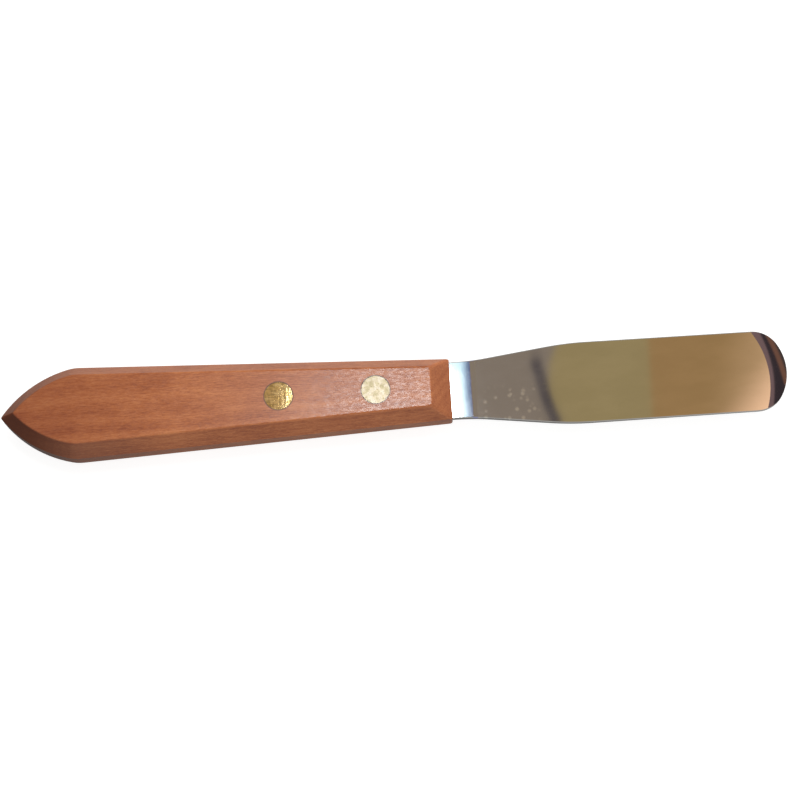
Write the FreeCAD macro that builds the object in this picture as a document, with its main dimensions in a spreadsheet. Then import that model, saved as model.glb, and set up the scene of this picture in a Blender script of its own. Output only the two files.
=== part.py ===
import FreeCAD, Part
import math
import os

import Sketcher

# A palette knife: a taper-ground steel blade whose hidden half tang sits in a slot in a
# one-piece hardwood handle, held by two brass compression rivets. +X runs to the blade's tip,
# +Y across the knife and +Z up. The knife lies flat: the handle's lower face is on z = 0,
# and x = y = 0 is the middle of the whole length. Sizes are in millimetres.
#
# Every sub-part is drawn about the knife's middle plane and lifted by half the handle's
# thickness. Every outline is symmetric about the X axis, so its sketch holds the +Y half.

# alias: (value, meaning)
DIMENSIONS = {
    "overall_length": (177.8, "butt to blade tip"),
    "handle_length": (101.6, "butt to handle front"),
    "handle_thick": (11.4, "between the handle's two flat faces"),
    "handle_front_half": (7.03, "half width at the handle's front end"),
    "handle_taper": (2.44, "degrees between each side and the axis"),
    "shoulder_radius": (9.0, "where a side runs into the pointed butt"),
    "butt_flank_radius": (26.8, "each curved flank of the pointed butt"),
    "butt_flank_peak": (21.6, "butt to the centre of a flank's arc, along X"),
    "butt_nose_radius": (0.5, "very end of the butt"),
    "bevel_width": (2.64, "long bevel, measured across the flat face"),
    "bevel_depth": (3.7, "both bevels, measured down the side"),
    "front_bevel_length": (4.4, "front bevel, measured along the flat face"),
    "mitre_radius": (1.3, "softened mitre between front and long bevels"),
    "front_corner_radius": (0.5, "upright corners of the handle's front end"),
    "arris_radius": (0.55, "sanded arris around each flat face"),
    "stock_thick": (1.6, "steel of the tang and ricasso"),
    "tang_length": (50.8, "handle front to the tang's end"),
    "tang_half": (4.8, "half width of the tang"),
    "slot_gap": (0.15, "between the slot and the tang's end and edges"),
    "ricasso_inset": (0.45, "ricasso's edges inside the corners of the handle's front"),
    "ricasso_length": (4.64, "handle front to the plunge line, where the flare starts too"),
    "flare_angle": (7.44, "degrees, each side of the flare"),
    "flare_hollow_radius": (60.0, "where the flare starts"),
    "flare_crown_radius": (71.0, "where the flare ends"),
    "blade_half_at_crown": (9.45, "half width of the straight sides, 30 mm ahead of the handle"),
    "crown_station": (30.0, "where that half width is measured"),
    "blade_taper": (0.1, "degrees between each straight side and the axis"),
    "nose_radius": (12.0, "end of the blade"),
    "nose_corner_radius": (6.6, "each corner of the blade's end"),
    "plunge_depth": (0.05, "step at the plunge line, each face"),
    "plunge_radius": (12.0, "hollow left at the plunge line by the wheel"),
    "tip_half_thick": (0.3, "half thickness at the tip, before its bevel"),
    "edge_radius": (0.2, "broken edges of the blade's sides"),
    "tip_bevel_width": (4.0, "crescent bevel, measured along X from its inner edge to the tip"),
    "tip_bevel_offset": (1.9, "how far the crescent's centre lies to -Y of the axis"),
    "tip_bevel_radius": (25.5, "inner edge of the crescent"),
    "tip_bevel_sweep": (120, "degrees of turn that take in the whole crescent"),
    "tip_edge_half_thick": (0.12, "half thickness left at the very edge"),
    "tip_bevel_crown": (120.0, "radius of the slightly convex bevel"),
    "front_rivet_back": (16.9, "handle front to the front rivet"),
    "rear_rivet_back": (38.7, "handle front to the rear rivet"),
    "rivet_head": (6.35, "diameter of a rivet head"),
    "rivet_head_thick": (2.0, "head, from its seat to the middle of its dome"),
    "rivet_dome": (0.03, "rise of the dome above the head's rim"),
    "rivet_tube": (4.0, "outer diameter of the female half's tube"),
    "rivet_pin": (2.6, "diameter of the male half's pin, pressed into the tube"),
    "tube_end_gap": (0.3, "tube's end to the male head"),
    "pin_end_gap": (0.4, "pin's end to the bottom of the tube's bore"),
    "head_clearance": (0.03, "radial, head in its counterbore"),
    "tube_clearance": (0.05, "radial, tube in the wood"),
    "tang_hole_clearance": (0.15, "radial, tube in the tang"),
    "cut_past": (1.0, "how far a cutting profile runs past the steel"),
}

# Sketcher's numbers for a sketch's own axes and origin, and for an arc's centre.
X_AXIS = -1
Y_AXIS = -2
ORIGIN_POINT = 1
CENTRE = 3

UP = FreeCAD.Vector(0, 0, 1)

# How near two lengths in mm have to be to count as equal, and the least volume a cut takes.
TINY = 1e-4
LEAST_CUT = 1e-3

# Parts of a unit direction that an edge has along an axis: at least SQUARE if it runs along
# that axis, and over LEANS if it leans that way at all.
SQUARE = 0.9
LEANS = 0.3

doc = FreeCAD.newDocument("palette_knife")


def make_sheet():
    """The spreadsheet of driving dimensions: value, alias and meaning in each row."""
    sheet = doc.addObject("Spreadsheet::Sheet", "dims")
    for row, (alias, (value, meaning)) in enumerate(DIMENSIONS.items(), start=1):
        sheet.set(f"A{row}", alias.replace("_", " "))
        sheet.set(f"B{row}", str(value))
        sheet.setAlias(f"B{row}", alias)
        sheet.set(f"C{row}", meaning)
    doc.recompute()
    return sheet


def dim(alias):
    """A driving dimension's value, for placing rough geometry and picking edges."""
    return float(sheet.get(alias))


def new_body(label):
    """A sub-part drawn about the middle plane and lifted to its place in the knife."""
    body = doc.addObject("PartDesign::Body", label)
    body.Label = label
    body.setExpression(".Placement.Base.z", "dims.handle_thick / 2")
    return body


def origin_plane(body, role):
    return next(f for f in body.Origin.OriginFeatures if f.Role == role)


def new_sketch(body, name, role, across=None, lift=None):
    """A sketch on one of the body's origin planes, moved within or off it by expressions."""
    sketch = body.newObject("Sketcher::SketchObject", name)
    sketch.AttachmentSupport = [(origin_plane(body, role), "")]
    sketch.MapMode = "FlatFace"
    if across:
        sketch.setExpression(".AttachmentOffset.Base.x", across)
    if lift:
        sketch.setExpression(".AttachmentOffset.Base.z", lift)
    return sketch


def handle_front():
    """Where the handle ends and the bare steel starts, along X."""
    return dim("handle_length") - dim("overall_length") / 2


def ricasso_half_width():
    """Half width of the steel where it leaves the handle."""
    return dim("handle_front_half") - dim("ricasso_inset")


def point(x, y):
    return FreeCAD.Vector(x, y, 0)


def circle(x, radius):
    """A full circle centred on the sketch's X axis."""
    return Part.Circle(point(x, 0), UP, radius)


def line(x0, y0, x1, y1):
    return Part.LineSegment(point(x0, y0), point(x1, y1))


def arc(x0, y0, xm, ym, x1, y1):
    return Part.Arc(point(x0, y0), point(xm, ym), point(x1, y1))


def heading(degrees):
    """A unit direction in the sketch, at an angle from its X axis."""
    return point(math.cos(math.radians(degrees)), math.sin(math.radians(degrees)))


def arc_about(centre, radius, start, end):
    """An arc about a centre, between two angles in degrees."""
    ends = (start, (start + end) / 2, end)
    return Part.Arc(*(centre + heading(degrees) * radius for degrees in ends))


def rounded_corner(corner, before, after, radius):
    """The arc that rounds a corner between two headings in degrees."""
    turn = after - before
    side = math.copysign(1, turn)
    leg = radius * math.tan(math.radians(abs(turn) / 2))
    centre = corner - heading(before) * leg + heading(before + side * 90) * radius
    return arc_about(centre, radius, before - side * 90, after - side * 90)


def joined(first, second):
    """The line from the end of one arc to the start of another."""
    return Part.LineSegment(first.EndPoint, second.StartPoint)


def relate(sketch, kind, *places):
    sketch.addConstraint(Sketcher.Constraint(kind, *places))


def fix(sketch, expression, kind, *places):
    """Add a dimension to the sketch and bind it to the sheet."""
    value = sketch.evalExpression(expression)
    size = math.radians(value.Value) if kind == "Angle" else float(value)
    index = sketch.addConstraint(Sketcher.Constraint(kind, *places, size))
    sketch.setExpression(f"Constraints[{index}]", expression)


def fix_x(sketch, expression, element, end):
    fix(sketch, expression, "DistanceX", X_AXIS, ORIGIN_POINT, element, end)


def fix_y(sketch, expression, element, end):
    fix(sketch, expression, "DistanceY", X_AXIS, ORIGIN_POINT, element, end)


def pass_through(sketch, element, x_expression, y_expression):
    """Make a line or arc, or its extension, pass through a fixed construction point."""
    x = float(sketch.evalExpression(x_expression))
    y = float(sketch.evalExpression(y_expression))
    mark = sketch.addGeometry(Part.Point(point(x, y)), True)
    fix_x(sketch, x_expression, mark, 1)
    fix_y(sketch, y_expression, mark, 1)
    relate(sketch, "PointOnObject", mark, 1, element)


def nearest_ends(sketch, first, second):
    """The ends of two elements that lie closest together, as Sketcher's 1 or 2."""
    def gap(ends):
        return (sketch.getPoint(first, ends[0]) - sketch.getPoint(second, ends[1])).Length

    return min([(1, 1), (1, 2), (2, 1), (2, 2)], key=gap)


def chain(sketch, elements, joints):
    """Add elements end to end and close them into a loop.

    joints has one letter for each element, T where it runs smoothly into the next one and
    C where it meets it at a corner.
    """
    ids = [sketch.addGeometry(element, False) for element in elements]
    links = [(a, b, *nearest_ends(sketch, a, b)) for a, b in zip(ids, ids[1:] + ids[:1])]
    for (a, b, end_a, end_b), joint in zip(links, joints):
        relate(sketch, "Tangent" if joint == "T" else "Coincident", a, end_a, b, end_b)
    return ids


def half_outline(sketch, elements, joints):
    """A chain whose last element closes the loop along the X axis."""
    ids = chain(sketch, elements, joints)
    relate(sketch, "PointOnObject", ids[-1], 1, X_AXIS)
    relate(sketch, "PointOnObject", ids[-1], 2, X_AXIS)
    return ids


def turned_profile(sketch, corners):
    """A closed profile beside the sketch's Y axis, from corners given as expressions.

    Its first side is the domed one: an arc that crosses the Y axis squarely.
    """
    places = [tuple(float(sketch.evalExpression(e)) for e in corner) for corner in corners]
    (x0, y0), (x1, y1) = places[:2]
    dome = arc(x0, y0, (x0 + x1) / 2, (3 * y0 + y1) / 4, x1, y1)
    sides = [line(*a, *b) for a, b in zip(places[1:], places[2:] + places[:1])]
    ids = chain(sketch, [dome] + sides, "C" * len(places))
    relate(sketch, "PointOnObject", ids[0], CENTRE, Y_AXIS)
    for side, (x, y) in zip(ids[1:], corners[1:]):
        fix_x(sketch, x, side, 1)
        fix_y(sketch, y, side, 1)
    fix_x(sketch, corners[0][0], ids[-1], 2)
    fix_y(sketch, corners[0][1], ids[-1], 2)


def add_pad(body, sketch, length):
    """Pad a sketch by an expression's length, half of it each way."""
    pad = body.newObject("PartDesign::Pad", sketch.Name + "_pad")
    pad.Profile = sketch
    pad.SideType = "Symmetric"
    pad.setExpression("Length", length)
    doc.recompute()
    return pad


def add_pocket(body, sketch, length):
    """Cut a sketch's profile out by an expression's length, half of it each way."""
    pocket = body.newObject("PartDesign::Pocket", sketch.Name + "_pocket")
    pocket.Profile = sketch
    pocket.SideType = "Symmetric"
    pocket.setExpression("Length", length)
    return check_cut(body, pocket)


def add_turning(kind, body, sketch, sweep="360deg"):
    """A Revolution or Groove of a sketch about its own Y axis, half of the sweep each way."""
    turning = body.newObject("PartDesign::" + kind, sketch.Name + "_" + kind.lower())
    turning.Profile = sketch
    turning.ReferenceAxis = (sketch, ["V_Axis"])
    turning.Midplane = True
    turning.setExpression("Angle", sweep)
    doc.recompute()
    return turning


def add_mirror(body, role, features=None):
    """Mirror some features, or the whole shape so far, in one of the body's origin planes."""
    mirror = body.newObject("PartDesign::Mirrored", body.Label + "_mirrored")
    mirror.TransformMode = "Features" if features else "Whole shape"
    mirror.Originals = features or []
    mirror.MirrorPlane = (origin_plane(body, role), [""])
    body.Tip = mirror
    doc.recompute()
    return mirror


def check_cut(body, feature):
    """Stop if a cut took nothing away."""
    doc.recompute()
    before = feature.BaseFeature.Shape.Volume
    if feature.Shape.Volume > before - LEAST_CUT:
        raise RuntimeError(f"{body.Label}: {feature.Name} cuts nothing")
    return feature


def edges_where(feature, test):
    """Names of a feature's edges whose middle point and direction there pass a test."""
    names = []
    for number, edge in enumerate(feature.Shape.Edges, start=1):
        middle = (edge.FirstParameter + edge.LastParameter) / 2
        if test(edge.valueAt(middle), edge.tangentAt(middle)):
            names.append(f"Edge{number}")
    return names


def add_bevel(body, base, names, face_size, side_size):
    """A bevel with unlike legs: face_size across the flat face and side_size down the side."""
    bevel = body.newObject("PartDesign::Chamfer", body.Label + "_bevel")
    bevel.Base = (base, names)
    bevel.ChamferType = "Two distances"
    bevel.setExpression("Size", side_size)
    bevel.setExpression("Size2", face_size)
    return check_cut(body, bevel)


def add_fillet(body, base, names, radius):
    fillet = body.newObject("PartDesign::Fillet", body.Label + "_fillet")
    fillet.Base = (base, names)
    fillet.setExpression("Radius", radius)
    doc.recompute()
    return fillet


# Places, as expressions on the sheet. Z is measured from the knife's middle plane.
BUTT = "(-dims.overall_length / 2)"
TIP = "(dims.overall_length / 2)"
HANDLE_FRONT = "(dims.handle_length - dims.overall_length / 2)"
TANG_END = f"({HANDLE_FRONT} - dims.tang_length)"
PLUNGE = f"({HANDLE_FRONT} + dims.ricasso_length)"
RICASSO_HALF = "(dims.handle_front_half - dims.ricasso_inset)"
HANDLE_TOP = "(dims.handle_thick / 2)"
HEAD_SEAT = f"({HANDLE_TOP} - dims.rivet_head_thick)"
STEEL_TOP = "(dims.stock_thick / 2)"
GROUND_TOP = f"({STEEL_TOP} - dims.plunge_depth)"
GRIND_SLOPE = f"(({GROUND_TOP} - dims.tip_half_thick) / ({TIP} - {PLUNGE}))"
BEVEL_CENTRE = f"({TIP} - dims.tip_bevel_width - dims.tip_bevel_radius)"
BEVEL_START_TOP = f"(dims.tip_half_thick + dims.tip_bevel_width * {GRIND_SLOPE})"
RIVETS = {
    "front_rivet": f"{HANDLE_FRONT} - dims.front_rivet_back",
    "rear_rivet": f"{HANDLE_FRONT} - dims.rear_rivet_back",
}


def handle_outline(body):
    """Pointed butt of two curved flanks, shoulder, tapering side and square front.

    The flank runs on to the axis. The construction circle is the nose that the butt's last
    fillet leaves, and it holds the finished butt at its place.
    """
    sketch = new_sketch(body, "handle_outline", "XY_Plane")
    butt = -dim("overall_length") / 2
    front = handle_front()
    front_half = dim("handle_front_half")
    nose_radius = dim("butt_nose_radius")
    flank, shoulder, side, end, axis = half_outline(
        sketch,
        [
            arc(butt, 0, butt + 6, 6, butt + 15, 10),
            arc(butt + 15, 10, butt + 16, 10.2, butt + 17, 10.3),
            line(butt + 17, 10.3, front, front_half),
            line(front, front_half, front, 0),
            line(front, 0, butt, 0),
        ],
        "TTCCC",
    )
    relate(sketch, "Vertical", end)
    nose = sketch.addGeometry(circle(butt + nose_radius, nose_radius), True)
    fix(sketch, "dims.butt_nose_radius", "Radius", nose)
    relate(sketch, "PointOnObject", nose, CENTRE, X_AXIS)
    fix_x(sketch, f"{BUTT} + dims.butt_nose_radius", nose, CENTRE)
    fix(sketch, "dims.butt_flank_radius", "Radius", flank)
    fix_x(sketch, f"{BUTT} + dims.butt_flank_peak", flank, CENTRE)
    relate(sketch, "Tangent", nose, flank)
    fix(sketch, "dims.shoulder_radius", "Radius", shoulder)
    fix_x(sketch, HANDLE_FRONT, end, 1)
    fix_y(sketch, "dims.handle_front_half", end, 1)
    fix(sketch, "-dims.handle_taper * 1deg", "Angle", side)
    return sketch


def slot_outline(body):
    """The slot cut in from the handle's front, a little wider and deeper than the tang."""
    sketch = new_sketch(body, "tang_slot", "XY_Plane")
    front = handle_front()
    past = dim("cut_past")
    end = front - dim("tang_length") - dim("slot_gap")
    half = dim("tang_half") + dim("slot_gap")
    near, mouth, far, bottom = chain(
        sketch,
        [
            line(end, -half, front + past, -half),
            line(front + past, -half, front + past, half),
            line(front + past, half, end, half),
            line(end, half, end, -half),
        ],
        "CCCC",
    )
    relate(sketch, "Horizontal", near)
    relate(sketch, "Vertical", mouth)
    relate(sketch, "Horizontal", far)
    relate(sketch, "Vertical", bottom)
    fix_x(sketch, f"{HANDLE_FRONT} + dims.cut_past", mouth, 1)
    fix_y(sketch, "-(dims.tang_half + dims.slot_gap)", mouth, 1)
    fix_x(sketch, f"{TANG_END} - dims.slot_gap", bottom, 1)
    fix_y(sketch, "dims.tang_half + dims.slot_gap", bottom, 1)
    return sketch


def rivet_circles(body, name, radius, lift=None):
    """A circle at each rivet."""
    sketch = new_sketch(body, name, "XY_Plane", lift=lift)
    for place in RIVETS.values():
        centre = float(sketch.evalExpression(place))
        rim = sketch.addGeometry(circle(centre, dim("rivet_tube") / 2), False)
        relate(sketch, "PointOnObject", rim, CENTRE, X_AXIS)
        fix_x(sketch, place, rim, CENTRE)
        fix(sketch, radius, "Radius", rim)
    return sketch


def drill_handle(body):
    """Rivet holes through the wood, each with a flat seat for a head at both ends."""
    drilling = rivet_circles(body, "rivet_holes", "dims.rivet_tube / 2", lift=HANDLE_TOP)
    doc.recompute()
    hole = body.newObject("PartDesign::Hole", "rivet_hole")
    hole.Profile = drilling
    hole.DepthType = "ThroughAll"
    hole.setExpression("Diameter", "dims.rivet_tube + 2 * dims.tube_clearance")
    hole.HoleCutType = "Counterbore"
    hole.HoleCutCustomValues = True
    hole.setExpression("HoleCutDiameter", "dims.rivet_head + 2 * dims.head_clearance")
    hole.setExpression("HoleCutDepth", "dims.rivet_head_thick")
    check_cut(body, hole)
    return add_mirror(body, "XY_Plane", [hole])


def make_handle():
    """Hardwood slab, bevelled all round, slotted for the tang and drilled for the rivets."""
    body = new_body("handle")
    half = add_pad(body, handle_outline(body), "dims.handle_thick")
    face = dim("handle_thick") / 2

    def on_face(place):
        return abs(abs(place.z) - face) < TINY

    def on_front(place):
        return abs(place.x - handle_front()) < TINY

    def along_side(place, along):
        return on_face(place) and place.y > TINY and abs(along.x) > LEANS

    def on_mitre(place, along):
        return place.x > 0 and abs(along.x) > LEANS and abs(along.z) > LEANS

    edges = edges_where(half, lambda place, along: on_face(place) and on_front(place))
    fronted = add_bevel(body, half, edges, "dims.front_bevel_length", "dims.bevel_depth")
    edges = edges_where(fronted, along_side)
    add_bevel(body, fronted, edges, "dims.bevel_width", "dims.bevel_depth")
    whole = add_mirror(body, "XZ_Plane")

    edges = edges_where(whole, lambda place, along: abs(place.y) < TINY and abs(along.y) < TINY)
    nosed = add_fillet(body, whole, edges, "dims.butt_nose_radius")
    mitred = add_fillet(body, nosed, edges_where(nosed, on_mitre), "dims.mitre_radius")
    edges = edges_where(mitred, lambda place, along: on_front(place) and abs(along.z) > SQUARE)
    cornered = add_fillet(body, mitred, edges, "dims.front_corner_radius")
    edges = edges_where(cornered, lambda place, along: on_face(place))
    add_fillet(body, cornered, edges, "dims.arris_radius")

    add_pocket(body, slot_outline(body), "dims.stock_thick")
    drill_handle(body)
    return body


def blade_outline(body):
    """Tang, ricasso, flare, straight sides and rounded end, all in one piece of steel.

    The elements are drawn where the constraints will hold them, because from a rough drawing
    the solver can turn an arc the wrong way round.
    """
    sketch = new_sketch(body, "blade_outline", "XY_Plane")
    front = handle_front()
    tip = dim("overall_length") / 2
    tang_end = front - dim("tang_length")
    tang_half = dim("tang_half")
    ricasso = ricasso_half_width()
    widest = dim("blade_half_at_crown")
    flare_angle = dim("flare_angle")
    taper = dim("blade_taper")

    flare_start = point(front + dim("ricasso_length"), ricasso)
    hollow_arc = rounded_corner(flare_start, 0, flare_angle, dim("flare_hollow_radius"))
    flare_length = (widest - ricasso) / math.sin(math.radians(flare_angle))
    flare_end = flare_start + heading(flare_angle) * flare_length
    crown_arc = rounded_corner(flare_end, flare_angle, -taper, dim("flare_crown_radius"))

    nose_radius = dim("nose_radius")
    corner_radius = dim("nose_corner_radius")
    centre_gap = nose_radius - corner_radius
    nose_turn = math.degrees(math.asin((widest - corner_radius) / centre_gap))
    nose_centre = point(tip - nose_radius, 0)
    corner_centre = nose_centre + heading(nose_turn) * centre_gap
    corner_arc = arc_about(corner_centre, corner_radius, 90 - taper, nose_turn)
    nose_arc = arc_about(nose_centre, nose_radius, nose_turn, 0)

    back, tang, shoulder, waist, hollow, flare, crown, side, corner, nose, axis = half_outline(
        sketch,
        [
            line(tang_end, 0, tang_end, tang_half),
            line(tang_end, tang_half, front, tang_half),
            line(front, tang_half, front, ricasso),
            line(front, ricasso, hollow_arc.StartPoint.x, ricasso),
            hollow_arc,
            joined(hollow_arc, crown_arc),
            crown_arc,
            joined(crown_arc, corner_arc),
            corner_arc,
            nose_arc,
            line(tip, 0, tang_end, 0),
        ],
        "CCCTTTTTTCC",
    )
    relate(sketch, "Vertical", back)
    fix_x(sketch, TANG_END, back, 1)
    relate(sketch, "Horizontal", tang)
    fix_y(sketch, "dims.tang_half", tang, 1)
    relate(sketch, "Vertical", shoulder)
    fix_x(sketch, HANDLE_FRONT, waist, 1)
    fix_y(sketch, RICASSO_HALF, waist, 1)
    relate(sketch, "Horizontal", waist)
    fix(sketch, "dims.flare_hollow_radius", "Radius", hollow)
    fix(sketch, "dims.flare_angle * 1deg", "Angle", flare)
    pass_through(sketch, flare, PLUNGE, RICASSO_HALF)
    fix(sketch, "dims.flare_crown_radius", "Radius", crown)
    fix(sketch, "-dims.blade_taper * 1deg", "Angle", side)
    pass_through(sketch, side, f"{HANDLE_FRONT} + dims.crown_station", "dims.blade_half_at_crown")
    fix(sketch, "dims.nose_corner_radius", "Radius", corner)
    fix(sketch, "dims.nose_radius", "Radius", nose)
    relate(sketch, "PointOnObject", nose, CENTRE, X_AXIS)
    fix_x(sketch, TIP, axis, 1)
    return sketch


def grinding_profile(body):
    """What the wheel takes off the upper face: a hollow at the plunge line, then a long taper."""
    sketch = new_sketch(body, "taper_grind", "XZ_Plane")
    plunge = float(sketch.evalExpression(PLUNGE))
    stock = float(sketch.evalExpression(STEEL_TOP))
    ground = float(sketch.evalExpression(GROUND_TOP))
    tip = dim("overall_length") / 2
    past = dim("cut_past")
    hollow, face, beyond, above, back = chain(
        sketch,
        [
            arc(plunge, stock, plunge + 0.4, ground + 0.02, plunge + 1.1, ground),
            line(plunge + 1.1, ground, tip + past, dim("tip_half_thick")),
            line(tip + past, dim("tip_half_thick"), tip + past, stock + past),
            line(tip + past, stock + past, plunge, stock + past),
            line(plunge, stock + past, plunge, stock),
        ],
        "TCCCC",
    )
    relate(sketch, "Vertical", beyond)
    relate(sketch, "Horizontal", above)
    relate(sketch, "Vertical", back)
    fix_x(sketch, PLUNGE, back, 2)
    fix_y(sketch, STEEL_TOP, back, 2)
    fix(sketch, "dims.plunge_radius", "Radius", hollow)
    pass_through(sketch, face, PLUNGE, GROUND_TOP)
    pass_through(sketch, face, TIP, "dims.tip_half_thick")
    fix_x(sketch, f"{TIP} + dims.cut_past", beyond, 1)
    fix_y(sketch, f"{STEEL_TOP} + dims.cut_past", above, 1)
    return sketch


def tip_bevel_profile(body):
    """Section of the crescent bevel, beside the upright axis it is turned about."""
    shift = "dims.tip_bevel_offset"
    sketch = new_sketch(body, "tip_bevel", "XZ_Plane", across=BEVEL_CENTRE, lift=shift)
    inner = dim("tip_bevel_radius")
    outer = inner + dim("tip_bevel_width")
    thick = dim("tip_half_thick")
    edge = dim("tip_edge_half_thick")
    past = dim("cut_past")
    bevel, beyond, above, back = chain(
        sketch,
        [
            arc(inner - past, thick + 0.06, inner + 2, thick - 0.08, outer + past, edge - 0.07),
            line(outer + past, edge - 0.07, outer + past, thick + past),
            line(outer + past, thick + past, inner - past, thick + past),
            line(inner - past, thick + past, inner - past, thick + 0.06),
        ],
        "CCCC",
    )
    relate(sketch, "Vertical", beyond)
    relate(sketch, "Horizontal", above)
    relate(sketch, "Vertical", back)
    fix(sketch, "dims.tip_bevel_crown", "Radius", bevel)
    pass_through(sketch, bevel, "dims.tip_bevel_radius", BEVEL_START_TOP)
    outer_edge = "dims.tip_bevel_radius + dims.tip_bevel_width"
    pass_through(sketch, bevel, outer_edge, "dims.tip_edge_half_thick")
    fix_x(sketch, f"{outer_edge} + dims.cut_past", beyond, 1)
    fix_x(sketch, "dims.tip_bevel_radius - dims.cut_past", back, 1)
    fix_y(sketch, "dims.tip_half_thick + dims.cut_past", above, 1)
    return sketch


def make_blade():
    """Blade and half tang in one: blanked, taper ground, bevelled at the tip and punched."""
    body = new_body("blade")
    nose_start = dim("overall_length") / 2 - dim("nose_corner_radius") - dim("nose_radius") / 2

    def on_side(place, along):
        return handle_front() < place.x < nose_start and abs(place.y) > ricasso_half_width() - TINY

    add_pad(body, blade_outline(body), "dims.stock_thick")
    add_mirror(body, "XZ_Plane")
    ground = add_pocket(body, grinding_profile(body), "dims.handle_thick * 3")
    steel = add_mirror(body, "XY_Plane", [ground])
    add_fillet(body, steel, edges_where(steel, on_side), "dims.edge_radius")
    bevel = add_turning("Groove", body, tip_bevel_profile(body), "dims.tip_bevel_sweep * 1deg")
    check_cut(body, bevel)
    add_mirror(body, "XY_Plane", [bevel])
    holes = rivet_circles(body, "tang_holes", "dims.rivet_tube / 2 + dims.tang_hole_clearance")
    add_pocket(body, holes, "dims.stock_thick * 2")
    return body


def make_rivet(name, place):
    """One compression rivet: a female half from above and a male half pressed in from below."""
    tube_end = f"(dims.tube_end_gap - {HEAD_SEAT})"
    pin_end = f"({HEAD_SEAT} - dims.pin_end_gap)"
    rim = "(dims.rivet_head / 2)"
    tube = "(dims.rivet_tube / 2)"
    pin = "(dims.rivet_pin / 2)"
    halves = {
        "female": [
            ("0", HANDLE_TOP),
            (rim, f"{HANDLE_TOP} - dims.rivet_dome"),
            (rim, HEAD_SEAT),
            (tube, HEAD_SEAT),
            (tube, tube_end),
            (pin, tube_end),
            (pin, HEAD_SEAT),
            ("0", HEAD_SEAT),
        ],
        "male": [
            ("0", f"-{HANDLE_TOP}"),
            (rim, f"dims.rivet_dome - {HANDLE_TOP}"),
            (rim, f"-{HEAD_SEAT}"),
            (pin, f"-{HEAD_SEAT}"),
            (pin, pin_end),
            ("0", pin_end),
        ],
    }
    bodies = []
    for half, corners in halves.items():
        body = new_body(f"{name}_{half}")
        sketch = new_sketch(body, f"{name}_{half}_section", "XZ_Plane", across=place)
        turned_profile(sketch, corners)
        add_turning("Revolution", body, sketch)
        bodies.append(body)
    return bodies


def check_document():
    """Stop if any object failed to build."""
    for item in doc.Objects:
        if "Invalid" in item.State or "Error" in item.State:
            raise RuntimeError(f"{item.Name} failed to build")


def export(body):
    """Write one sub-part to its own file once its shape is sound."""
    shape = body.Shape
    if shape.isNull() or not shape.isValid() or len(shape.Solids) != 1:
        raise RuntimeError(f"{body.Label} is not one sound solid")
    shape.exportStep(f"parts/{body.Label}.step")
    print(f"{body.Label}: {shape.Volume:.1f} cubic mm, {len(shape.Faces)} faces")


sheet = make_sheet()
sub_parts = [make_handle(), make_blade()]
for rivet_name, rivet_place in RIVETS.items():
    sub_parts += make_rivet(rivet_name, rivet_place)
doc.recompute()
check_document()
os.makedirs("parts", exist_ok=True)
for sub_part in sub_parts:
    export(sub_part)
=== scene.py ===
import math

import bmesh
import bpy
from mathutils import Matrix, Vector


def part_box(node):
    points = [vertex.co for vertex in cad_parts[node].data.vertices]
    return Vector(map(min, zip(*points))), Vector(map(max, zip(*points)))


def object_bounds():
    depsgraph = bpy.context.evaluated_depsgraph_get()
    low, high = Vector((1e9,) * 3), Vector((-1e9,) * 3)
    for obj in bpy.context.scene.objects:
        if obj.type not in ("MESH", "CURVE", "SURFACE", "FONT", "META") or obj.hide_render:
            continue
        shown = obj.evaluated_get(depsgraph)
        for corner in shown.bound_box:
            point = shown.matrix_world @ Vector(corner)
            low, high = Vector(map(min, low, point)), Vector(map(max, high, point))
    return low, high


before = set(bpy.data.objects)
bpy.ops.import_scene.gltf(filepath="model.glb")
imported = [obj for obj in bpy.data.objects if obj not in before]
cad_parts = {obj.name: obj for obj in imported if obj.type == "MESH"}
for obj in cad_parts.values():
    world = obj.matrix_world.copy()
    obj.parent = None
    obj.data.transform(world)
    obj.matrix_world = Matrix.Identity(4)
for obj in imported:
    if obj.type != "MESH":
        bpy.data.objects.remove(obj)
CAD_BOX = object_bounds()

# The palette knife in its CAD frame: +X runs to the blade's tip, +Z is up, and the handle's
# lower face is on z = 0. Lengths are in metres, and MM turns millimetres into metres.
MM = 0.001

MIDDLE_Z = (CAD_BOX[0].z + CAD_BOX[1].z) / 2

# Camera: high above the near side, square to the knife, turned a little about its own axis.
ELEVATION = math.radians(75)
ROLL = math.radians(3.73)
LENS = 100.0
SENSOR = 36.0
PICTURE = 800
PIXELS_PER_MM = 4.417
AIM_RIGHT = 1.198 * MM
AIM_DOWN = 1.16 * MM
DISTANCE = PICTURE * LENS / SENSOR / PIXELS_PER_MM * MM

X_DIRECTION = Vector((1, 0, 0))
TO_CAMERA = Vector((0, -math.cos(ELEVATION), math.sin(ELEVATION)))
# The way that the camera's line of sight leaves the blade's flat upper face.
MIRRORED = Vector((0, math.cos(ELEVATION), math.sin(ELEVATION)))

WHITE = (1.0, 1.0, 1.0)
UPPER_RIVETS = ("front_rivet_female", "rear_rivet_female")
LOWER_RIVETS = ("front_rivet_male", "rear_rivet_male")

# Places along the knife, in mm. The last two are where painted shade darkens the butt and its
# near bevel.
PLUNGE_X = 17.86
DROPS_X = 26.0
BETWEEN_RIVETS_X = (-18.0, -12.0)
BUTT_SHADE_FADE_X = (-92.0, -45.0)
NEAR_BEVEL_SHADE_FADE_X = (-80.0, -48.0)
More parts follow.
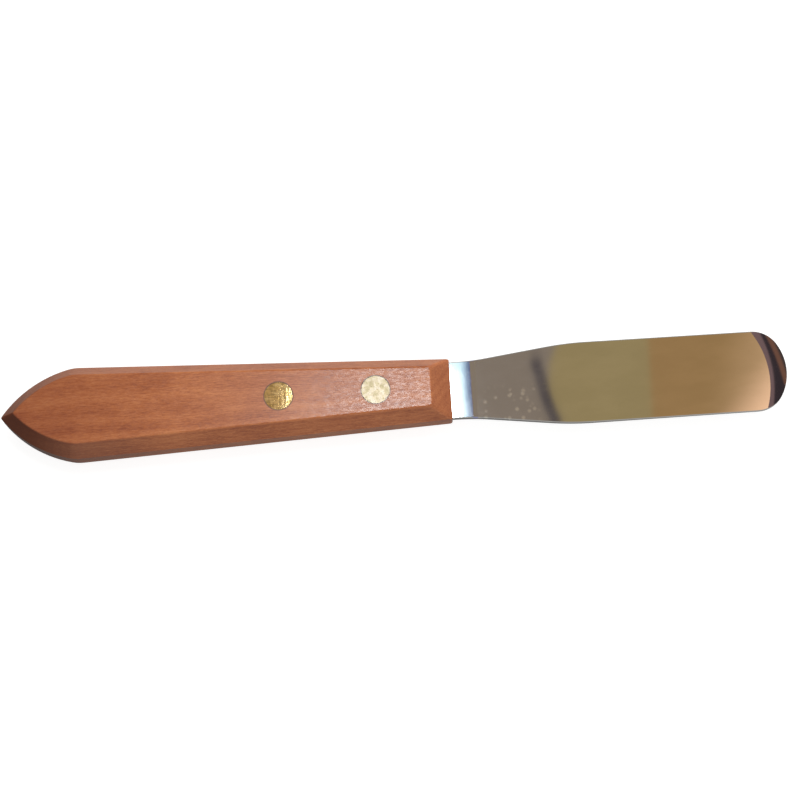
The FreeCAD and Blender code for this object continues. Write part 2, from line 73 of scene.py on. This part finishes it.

# Wood: the middle of the tree's rings, in mm, and the browns laid over the plain grain. Of these,
# the end-grain brown is partly painted shade, and the butt and near-bevel browns are painted
# shade.
PITH_Y = -13.0
PITH_Z = -24.0
PORE_BROWN = (0.13, 0.034, 0.012)
FLECK_BROWN = (0.16, 0.042, 0.014)
END_GRAIN_AND_SHADE_BROWN = (0.095, 0.026, 0.012)
BUTT_SHADE_BROWN = (0.235, 0.050, 0.014)
NEAR_BEVEL_SHADE_BROWN = (0.085, 0.034, 0.024)
DIRT_BROWN = (0.060, 0.028, 0.016)

# The window that the front rivet and the lacquer round it mirror: its place from the panel's
# middle, its size and its brightness.
WINDOW_ALONG = 0.5 * MM
WINDOW_TO_NEAR_SIDE = 30.5 * MM
WINDOW_SIZE = (51 * MM, 79 * MM)
WINDOW_RADIANCE = 20.0
WINDOW_WHITE = (0.93, 0.98, 1.0)

PANEL_HALF_SIZE = (0.30, 0.085)
PANEL_BEHIND_WINDOW = 0.004
FLOOR_HALF_SIZE = 4.0
BACKDROP_RADIUS = 4.0

# Lights that polished faces don't mirror: name, place, what it is aimed at, its two sides,
# its radiance and its colour.
STUDIO_LIGHTS = (
    ("key", (0.34, 0.38, 0.62), (0, 0, 0), (0.50, 0.40), 4.6, (1.0, 0.97, 0.93)),
    ("near_fill", (0.08, -0.28, 0.085), (0.02, 0, 0), (0.22, 0.16), 0.85, WHITE),
    ("far_fill", (0.16, 0.30, 0.10), (0.02, 0, 0), (0.16, 0.12), 5.0, WHITE),
)


def colour(rgb):
    return (*rgb, 1.0)


class Graph:
    """Shorthand for building a node tree."""

    def __init__(self, tree):
        self.tree = tree
        tree.nodes.clear()

    def node(self, kind, inputs=(), **settings):
        made = self.tree.nodes.new(kind)
        for key, value in settings.items():
            setattr(made, key, value)
        for key, value in dict(inputs).items():
            self.feed(made.inputs[key], value)
        return made

    def feed(self, socket, value):
        if isinstance(value, bpy.types.NodeSocket):
            self.tree.links.new(value, socket)
        elif isinstance(value, bpy.types.Node):
            self.tree.links.new(value.outputs[0], socket)
        else:
            socket.default_value = value

    def math(self, operation, *values):
        made = self.node("ShaderNodeMath", operation=operation)
        for socket, value in zip(made.inputs, values):
            self.feed(socket, value)
        return made.outputs[0]

    def add(self, a, b):
        return self.math("ADD", a, b)

    def sub(self, a, b):
        return self.math("SUBTRACT", a, b)

    def mul(self, a, b):
        return self.math("MULTIPLY", a, b)

    def step(self, value, low, high, start=0.0, end=1.0):
        """A smooth change from start to end as value goes from low to high."""
        inputs = {
            "Value": value,
            "From Min": low,
            "From Max": high,
            "To Min": start,
            "To Max": end,
        }
        return self.node("ShaderNodeMapRange", inputs, interpolation_type="SMOOTHSTEP").outputs[0]

    def band(self, value, middle, half, soft):
        """One within half of the middle, falling to zero over soft."""
        away = self.math("ABSOLUTE", self.sub(value, middle))
        return self.step(away, half, half + soft, 1.0, 0.0)

    def mix(self, factor, a, b):
        made = self.node("ShaderNodeMix", data_type="RGBA")
        self.feed(made.inputs[0], factor)
        for socket, value in ((made.inputs[6], a), (made.inputs[7], b)):
            self.feed(socket, colour(value) if isinstance(value, tuple) else value)
        return made.outputs[2]

    def ramp(self, factor, stops):
        made = self.node("ShaderNodeValToRGB", {"Fac": factor})
        elements = made.color_ramp.elements
        while len(elements) < len(stops):
            elements.new(0.5)
        for element, (place, value) in zip(elements, stops):
            element.position = place
            element.color = colour(value)
        return made.outputs[0]

    def scaled(self, vector, scale):
        inputs = {0: vector, 1: scale}
        return self.node("ShaderNodeVectorMath", inputs, operation="MULTIPLY").outputs[0]

    def parts(self, vector):
        return self.node("ShaderNodeSeparateXYZ", {0: vector}).outputs

    def red(self, value):
        return self.node("ShaderNodeSeparateColor", {0: value}).outputs[0]

    def noise(self, place, per_mm, detail=2.0, roughness=0.5, distortion=0.0):
        """Noise with this many features to a millimetre along x, y and z."""
        inputs = {
            "Vector": self.scaled(place, per_mm),
            "Scale": 1.0,
            "Detail": detail,
            "Roughness": roughness,
            "Distortion": distortion,
        }
        return self.node("ShaderNodeTexNoise", inputs).outputs[0]

    def spots(self, place, per_mm):
        """Scattered spots: the distance to the nearest one, and that one's random colour."""
        inputs = {"Vector": self.scaled(place, per_mm), "Scale": 1.0}
        outputs = self.node("ShaderNodeTexVoronoi", inputs).outputs
        return outputs["Distance"], outputs["Color"]

    def bump(self, height, strength, distance):
        inputs = {"Height": height, "Strength": strength, "Distance": distance}
        return self.node("ShaderNodeBump", inputs).outputs[0]


def object_mm(g):
    """Object coordinates in millimetres, and their three parts."""
    place = g.scaled(g.node("ShaderNodeTexCoord").outputs["Object"], (1000, 1000, 1000))
    parts = g.parts(place)
    return place, parts[0], parts[1], parts[2]


def new_material(name):
    material = bpy.data.materials.new(name)
    material.use_nodes = True
    return material, Graph(material.node_tree)


def finish_material(g, shader):
    g.node("ShaderNodeOutputMaterial", {"Surface": shader})


def wood_grain(g, place, x, y, z):
    """The bare wood's colour, and the fibres, pores and flecks in it."""
    drift = g.noise(place, (0.018, 0.09, 0.09), detail=3.0)
    ring_y = g.add(g.sub(y, PITH_Y), g.mul(drift, 9.0))
    ring_z = g.sub(z, PITH_Z)
    ring = g.math("SQRT", g.add(g.mul(ring_y, ring_y), g.mul(ring_z, ring_z)))
    ring_place = g.node("ShaderNodeCombineXYZ", {0: ring, 1: x})
    rings = g.noise(ring_place, (1.5, 0.006, 1.0))
    fibre = g.noise(place, (0.42, 3.6, 3.6), detail=3.0, roughness=0.6, distortion=0.1)
    speck = g.noise(place, (1.5, 4.6, 4.6), roughness=0.7)
    cloud = g.noise(place, (0.09, 0.22, 0.22))
    tone = g.add(g.mul(rings, 0.26), g.add(g.mul(fibre, 0.42), g.mul(cloud, 0.24)))
    tone = g.sub(g.add(tone, g.mul(speck, 0.30)), 0.08)
    wood = g.ramp(tone, [
        (0.38, (0.275, 0.062, 0.017)),
        (0.50, (0.415, 0.116, 0.032)),
        (0.58, (0.495, 0.153, 0.047)),
        (0.70, (0.600, 0.215, 0.072)),
    ])
    from_pore, _ = g.spots(place, (0.75, 4.6, 4.6))
    pore = g.step(from_pore, 0.08, 0.24, 1.0, 0.0)
    # About a third of these spots become flecks.
    from_fleck, own = g.spots(place, (0.62, 1.9, 1.9))
    fleck = g.mul(g.step(from_fleck, 0.06, 0.24, 1.0, 0.0), g.step(g.red(own), 0.55, 0.7))
    wood = g.mix(g.mul(pore, 0.30), wood, PORE_BROWN)
    wood = g.mix(g.mul(fleck, 0.40), wood, FLECK_BROWN)
    return wood, fibre, pore, fleck


def darkened(g, wood, x, y):
    """The wood's colour where stain and dirt make it darker, with painted shade at the butt and
    on its near bevel.
    """
    facing = g.parts(g.node("ShaderNodeNewGeometry").outputs["True Normal"])
    # End grain takes more stain, so surfaces that face along the grain are darker. At the butt
    # that darkening is mostly on the near side, where it is painted shade.
    painted_shade_near_side = g.step(facing[1], 0.05, 0.30, 1.0, 0.25)
    butt_end_grain_and_shade = g.mul(g.step(facing[0], -0.60, -0.10, 0.80, 0.0), painted_shade_near_side)
    end_grain_and_shade = g.add(butt_end_grain_and_shade, g.step(facing[0], 0.15, 0.75, 0.0, 0.28))
    wood = g.mix(end_grain_and_shade, wood, END_GRAIN_AND_SHADE_BROWN)
    # Painted shade: the wood darkens towards the butt end.
    butt_painted_shade = g.step(x, *BUTT_SHADE_FADE_X, 1.0, 0.0)
    wood = g.mix(g.mul(butt_painted_shade, 0.50), wood, BUTT_SHADE_BROWN)
    # Painted shade: the near bevel is darkest there.
    near_bevel = g.step(facing[1], -0.60, -0.35, 1.0, 0.0)
    near_bevel_painted_shade = g.mul(near_bevel, g.step(x, *NEAR_BEVEL_SHADE_FADE_X, 0.38, 0.0))
    wood = g.mix(near_bevel_painted_shade, wood, NEAR_BEVEL_SHADE_BROWN)
    # Dirt gathers in the joint round each rivet head.
    for rivet in UPPER_RIVETS:
        low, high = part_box(rivet)
        from_axis = g.math("SQRT", g.add(
            g.math("POWER", g.sub(x, (low.x + high.x) / 2 / MM), 2.0),
            g.math("POWER", y, 2.0),
        ))
        dirt = g.band(from_axis, (high.x - low.x) / 2 / MM + 0.08, 0.06, 0.16)
        wood = g.mix(g.mul(dirt, 0.75), wood, DIRT_BROWN)
    return wood


def wood_material():
    """Reddish hardwood, straight grained, under a satin lacquer."""
    material, g = new_material("lacquered_hardwood")
    place, x, y, z = object_mm(g)
    wood, fibre, pore, fleck = wood_grain(g, place, x, y, z)
    wood = darkened(g, wood, x, y)
    height = g.add(g.mul(fibre, 0.35), g.add(g.mul(pore, -0.8), g.mul(fleck, -0.5)))
    skin = g.bump(height, 0.30, 0.05 * MM)
    gloss = g.noise(place, (0.9, 1.6, 1.6), detail=1.0)
    rough = g.step(gloss, 0.30, 0.70, 0.19, 0.27)
    grit = g.noise(place, (0.8, 1.3, 1.3), detail=1.0)
    sunk = g.add(g.mul(pore, -0.05), g.mul(fleck, -0.20))
    lacquer = g.bump(g.add(sunk, grit), 0.45, 0.022 * MM)
    shader = g.node("ShaderNodeBsdfPrincipled", {
        "Base Color": wood,
        "Roughness": g.add(rough, 0.27),
        "Specular IOR Level": 0.20,
        "Coat Weight": 1.0,
        "Coat Roughness": rough,
        "Coat IOR": 1.5,
        "Normal": skin,
        "Coat Normal": lacquer,
    })
    finish_material(g, shader)
    return material


def steel_material():
    """Mirror-polished steel with fine polishing lines, smears and dried drops."""
    material, g = new_material("polished_steel")
    place, x, y, _ = object_mm(g)
    lines = g.noise(place, (9.0, 0.35, 9.0), detail=3.0, roughness=0.6)
    scratches = g.noise(place, (0.25, 14.0, 14.0), roughness=0.7)
    smear = g.noise(place, (0.10, 0.22, 0.22), detail=4.0, roughness=0.55)
    tint = g.mix(g.step(smear, 0.35, 0.7), (0.61, 0.60, 0.58), (0.645, 0.635, 0.62))
    # Drops have dried on the near half of the blade's waist, some faint and some plain.
    from_drop, own = g.spots(place, (0.72, 0.72, 0.0))
    drop = g.mul(g.step(from_drop, 0.12, 0.50, 1.0, 0.0), g.step(g.red(own), 0.15, 0.45))
    wetted = g.mul(g.band(x, DROPS_X, 4.5, 3.0), g.step(y, -2.0, 1.0, 1.0, 0.0))
    drop = g.mul(drop, wetted)
    scratched = g.mul(g.step(scratches, 0.62, 0.75), 0.03)
    rough = g.add(g.step(smear, 0.3, 0.75, 0.034, 0.042), scratched)
    rough = g.add(rough, g.mul(drop, 0.02))
    surface = g.bump(g.add(g.mul(lines, 0.5), g.mul(scratches, 0.3)), 0.02, 0.01 * MM)
    # A narrow blue band in the hollow of the plunge line: a painted reflection of a blue edge,
    # laid into the steel's colour. That it is a heat tint is a guess.
    painted_blue_reflection = g.mul(g.band(x, PLUNGE_X, 0.50, 0.12), 0.85)
    tint = g.mix(painted_blue_reflection, tint, (0.47, 0.49, 0.80))
    shader = g.node("ShaderNodeBsdfPrincipled", {
        "Base Color": g.mix(g.mul(drop, 0.7), tint, (1.0, 0.98, 0.88)),
        "Metallic": 1.0,
        "Roughness": rough,
        "Normal": surface,
    })
    finish_material(g, shader)
    return material


def brass_material():
    """Brass filed flush both ways, a little tarnished."""
    material, g = new_material("rivet_brass")
    place, x, _, _ = object_mm(g)
    marks = g.noise(place, (0.5, 3.0, 1.0), roughness=0.6)
    cross = g.noise(place, (2.8, 0.5, 1.0), roughness=0.6)
    blotch = g.noise(place, (0.7, 0.7, 0.7), detail=3.0)
    brass = g.ramp(blotch, [
        (0.32, (0.58, 0.385, 0.145)),
        (0.50, (0.70, 0.490, 0.225)),
        (0.66, (0.80, 0.610, 0.320)),
    ])
    filed = g.add(g.mul(marks, 0.6), g.mul(cross, 0.4))
    low = g.mul(g.step(filed, 0.40, 0.54, 1.0, 0.0), 0.75)
    brass = g.mix(low, brass, (0.34, 0.215, 0.080))
    # The front heads are more matt than the rear ones, and their paler colour is a painted
    # highlight of the window that they mirror.
    matt_and_painted_highlight = g.step(x, *BETWEEN_RIVETS_X)
    patch = g.noise(place, (1.1, 1.1, 1.1))
    painted_pale_highlight = g.ramp(patch, [
        (0.36, (0.66, 0.57, 0.37)),
        (0.48, (0.83, 0.71, 0.51)),
        (0.62, (0.94, 0.83, 0.68)),
    ])
    brass = g.mix(g.mul(matt_and_painted_highlight, 0.85), brass, painted_pale_highlight)
    shader = g.node("ShaderNodeBsdfPrincipled", {
        "Base Color": brass,
        "Metallic": 1.0,
        "Roughness": g.add(g.step(blotch, 0.3, 0.7, 0.095, 0.07), g.mul(matt_and_painted_highlight, 0.36)),
        "Normal": g.bump(g.add(marks, cross), 0.55, 0.012 * MM),
    })
    finish_material(g, shader)
    return material


def panel_material():
    """What the polished steel mirrors at the camera's angle: plain soft colours.

    The panel is as far above the knife as the camera is, so the blade shows it at half its
    size. The panel's own x and y, in mm, are twice the place on the knife that mirrors them.
    """
    material, g = new_material("reflected_room")
    _, p, q, _ = object_mm(g)
    shade = g.mix(g.step(p, 29.6, 31.4), (1.15, 1.55, 1.75), (0.60, 0.95, 1.30))

    def lay(along, start, end, rgb, weight=1.0):
        """The shade so far, with a colour over everything past a soft edge."""
        return g.mix(g.step(along, start, end, 0.0, weight), shade, rgb)

    shade = lay(p, 30.8, 32.6, (0.10, 0.13, 0.34))
    shade = lay(p, 34.6, 38.0, (0.33, 0.27, 0.22))
    # A dark bent strap, and the olive field past it.
    bent_q = g.math("MAXIMUM", g.math("MINIMUM", q, 10.0), -14.0)
    bend = g.add(g.mul(bent_q, -0.20), g.mul(g.math("POWER", bent_q, 3.0), -0.0006))
    past_strap = g.sub(p, g.add(bend, 72.7))
    strap = g.mul(g.band(past_strap, 0.0, 1.2, 2.6), g.step(q, 10.0, 16.0, 1.0, 0.25))
    far_side = g.math("MAXIMUM", q, 0.0)
    shade = lay(g.sub(past_strap, g.mul(far_side, 0.4)), 0.0, 3.5, (0.44, 0.34, 0.165))
    shade = g.mix(g.mul(strap, 0.95), shade, (0.095, 0.082, 0.095))
    # The brown field, and the warm glow near the tip.
    shade = lay(p, 120.4, 122.6, (0.46, 0.28, 0.12))
    shade = lay(g.add(p, g.mul(q, -0.3)), 146.0, 180.0, (0.72, 0.46, 0.245))
    shade = lay(g.add(p, g.mul(q, -0.9)), 164.0, 200.0, (1.62, 1.02, 0.66))
    # The ground nose mirrors the panel's far end, past the blade's own flat.
    from_middle = g.add(q, 3.6)
    past_nose = g.add(p, g.mul(g.mul(from_middle, from_middle), 0.0045))
    shade = lay(p, 184.0, 190.0, (0.24, 0.155, 0.16))
    shade = lay(past_nose, 212.0, 216.5, (0.050, 0.038, 0.045))
    slant = g.add(p, g.mul(q, 0.5))
    shade = lay(slant, 233.0, 239.0, (0.25, 0.12, 0.08), weight=0.9)
    shade = lay(slant, 246.0, 252.0, (0.07, 0.055, 0.055))
    # Over the handle, for the rear rivet and the lacquer.
    shade = g.mix(g.step(p, -34.0, -26.0, 1.0, 0.0), shade, (0.60, 0.52, 0.42))
    shade = g.mix(g.step(p, -110.0, -80.0, 1.0, 0.0), shade, (0.20, 0.17, 0.14))
    finish_material(g, g.node("ShaderNodeEmission", {"Color": shade, "Strength": 1.0}))
    return material


def dress(node, material):
    """Give a CAD node its material."""
    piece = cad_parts[node]
    piece.data.materials.clear()
    piece.data.materials.append(material)


def only_seen(thing, camera=False, glossy=False, shadow=False):
    """Say which rays meet a stage object."""
    thing.visible_camera = camera
    thing.visible_diffuse = False
    thing.visible_glossy = glossy
    thing.visible_transmission = False
    thing.visible_volume_scatter = False
    thing.visible_shadow = shadow


def linked(name, data):
    """A new object in the scene."""
    thing = bpy.data.objects.new(name, data)
    bpy.context.scene.collection.objects.link(thing)
    return thing


def add_sheet(name, x, y):
    """A flat sheet that reaches x and y to each side of its middle."""
    mesh = bpy.data.meshes.new(name)
    mesh.from_pydata([(-x, -y, 0), (x, -y, 0), (x, y, 0), (-x, y, 0)], [], [(0, 1, 2, 3)])
    return linked(name, mesh)


def add_floor():
    """A pale floor, lit a little from within like a light table, so that shadows stay faint."""
    floor = add_sheet("floor", FLOOR_HALF_SIZE, FLOOR_HALF_SIZE)
    floor.location.z = CAD_BOX[0].z
    material, g = new_material("floor_white")
    diffuse = g.node("ShaderNodeBsdfDiffuse", {"Color": colour((0.40, 0.40, 0.40))})
    glow = g.node("ShaderNodeEmission", {"Color": colour(WHITE), "Strength": 0.85})
    finish_material(g, g.node("ShaderNodeAddShader", {0: diffuse, 1: glow}))
    floor.data.materials.append(material)
    only_seen(floor, camera=True, shadow=True)


def add_backdrop():
    """A pale dome behind everything, seen by the camera only."""
    mesh = bpy.data.meshes.new("backdrop")
    shape = bmesh.new()
    bmesh.ops.create_uvsphere(shape, u_segments=48, v_segments=24, radius=BACKDROP_RADIUS)
    shape.to_mesh(mesh)
    shape.free()
    dome = linked("backdrop", mesh)
    material, g = new_material("backdrop_white")
    finish_material(g, g.node("ShaderNodeEmission", {"Color": colour(WHITE), "Strength": 1.0}))
    mesh.materials.append(material)
    only_seen(dome, camera=True)


def aim(thing, direction):
    """Turn a light so that it shines along direction, with its X side along the knife."""
    back = -direction.normalized()
    up = back.cross(X_DIRECTION).normalized()
    right = up.cross(back)
    thing.rotation_euler = Matrix((right, up, back)).transposed().to_euler()


def add_light(name, place, target, size, radiance, rgb, mirrored=False):
    """A soft rectangular light whose face has the given radiance."""
    data = bpy.data.lights.new(name, "AREA")
    data.shape = "RECTANGLE"
    data.size, data.size_y = size
    data.energy = radiance * math.pi * size[0] * size[1]
    data.color = rgb
    light = linked(name, data)
    light.location = place
    light.visible_camera = False
    light.visible_glossy = mirrored
    aim(light, Vector(target) - Vector(place))


def add_world():
    """A dim room, brighter overhead, past the tip and low on the near side, and a pale table."""
    world = bpy.data.worlds.new("room")
    bpy.context.scene.world = world
    world.use_nodes = True
    g = Graph(world.node_tree)
    way = g.parts(g.node("ShaderNodeTexCoord").outputs["Generated"])
    level = g.add(g.mul(way[2], 0.22), g.add(g.mul(way[0], 0.17), g.mul(way[1], 0.06)))
    level = g.math("MAXIMUM", g.add(level, 0.30), 0.04)
    level = g.add(level, g.step(way[1], -0.98, -0.60, 0.30, 0.0))
    table = g.add(g.add(g.mul(way[0], 0.50), g.mul(way[1], 0.06)), 0.47)
    table = g.mul(g.math("MAXIMUM", table, 0.1), g.step(way[2], -0.97, -0.55, 0.42, 1.0))
    below = g.step(way[2], -0.40, 0.0, 1.0, 0.0)
    level = g.add(g.mul(level, g.sub(1.0, below)), g.mul(table, below))
    g.node("ShaderNodeOutputWorld", {"Surface": g.node("ShaderNodeBackground", {
        "Color": colour((1.0, 0.985, 0.96)),
        "Strength": level,
    })})


def add_reflections():
    """The coloured panel, and the window just in front of it."""
    target = Vector((0, 0, MIDDLE_Z))
    centre = target + MIRRORED * DISTANCE
    up = MIRRORED.cross(X_DIRECTION)
    panel = add_sheet("reflection_panel", *PANEL_HALF_SIZE)
    panel.rotation_euler = Matrix((X_DIRECTION, up, MIRRORED)).transposed().to_euler()
    panel.location = centre + MIRRORED * PANEL_BEHIND_WINDOW
    panel.data.materials.append(panel_material())
    only_seen(panel, glossy=True)
    place = centre + X_DIRECTION * WINDOW_ALONG - up * WINDOW_TO_NEAR_SIDE
    add_light("window", place, target, WINDOW_SIZE, WINDOW_RADIANCE, WINDOW_WHITE, mirrored=True)


def add_camera():
    up = TO_CAMERA.cross(X_DIRECTION)
    right = X_DIRECTION * math.cos(ROLL) - up * math.sin(ROLL)
    upright = X_DIRECTION * math.sin(ROLL) + up * math.cos(ROLL)
    data = bpy.data.cameras.new("camera")
    data.lens = LENS
    data.sensor_width = SENSOR
    data.clip_start = 0.01
    data.clip_end = 20.0
    camera = linked("camera", data)
    target = Vector((0, 0, MIDDLE_Z)) + right * AIM_RIGHT - upright * AIM_DOWN
    camera.location = target + TO_CAMERA * DISTANCE
    camera.rotation_euler = Matrix((right, upright, TO_CAMERA)).transposed().to_euler()
    bpy.context.scene.camera = camera


wood = wood_material()
steel = steel_material()
brass = brass_material()
dress("handle", wood)
dress("blade", steel)
for rivet in UPPER_RIVETS + LOWER_RIVETS:
    dress(rivet, brass)

add_floor()
add_backdrop()
add_world()
add_reflections()
for light in STUDIO_LIGHTS:
    add_light(*light)
add_camera()

bpy.context.scene.view_settings.view_transform = "Standard"
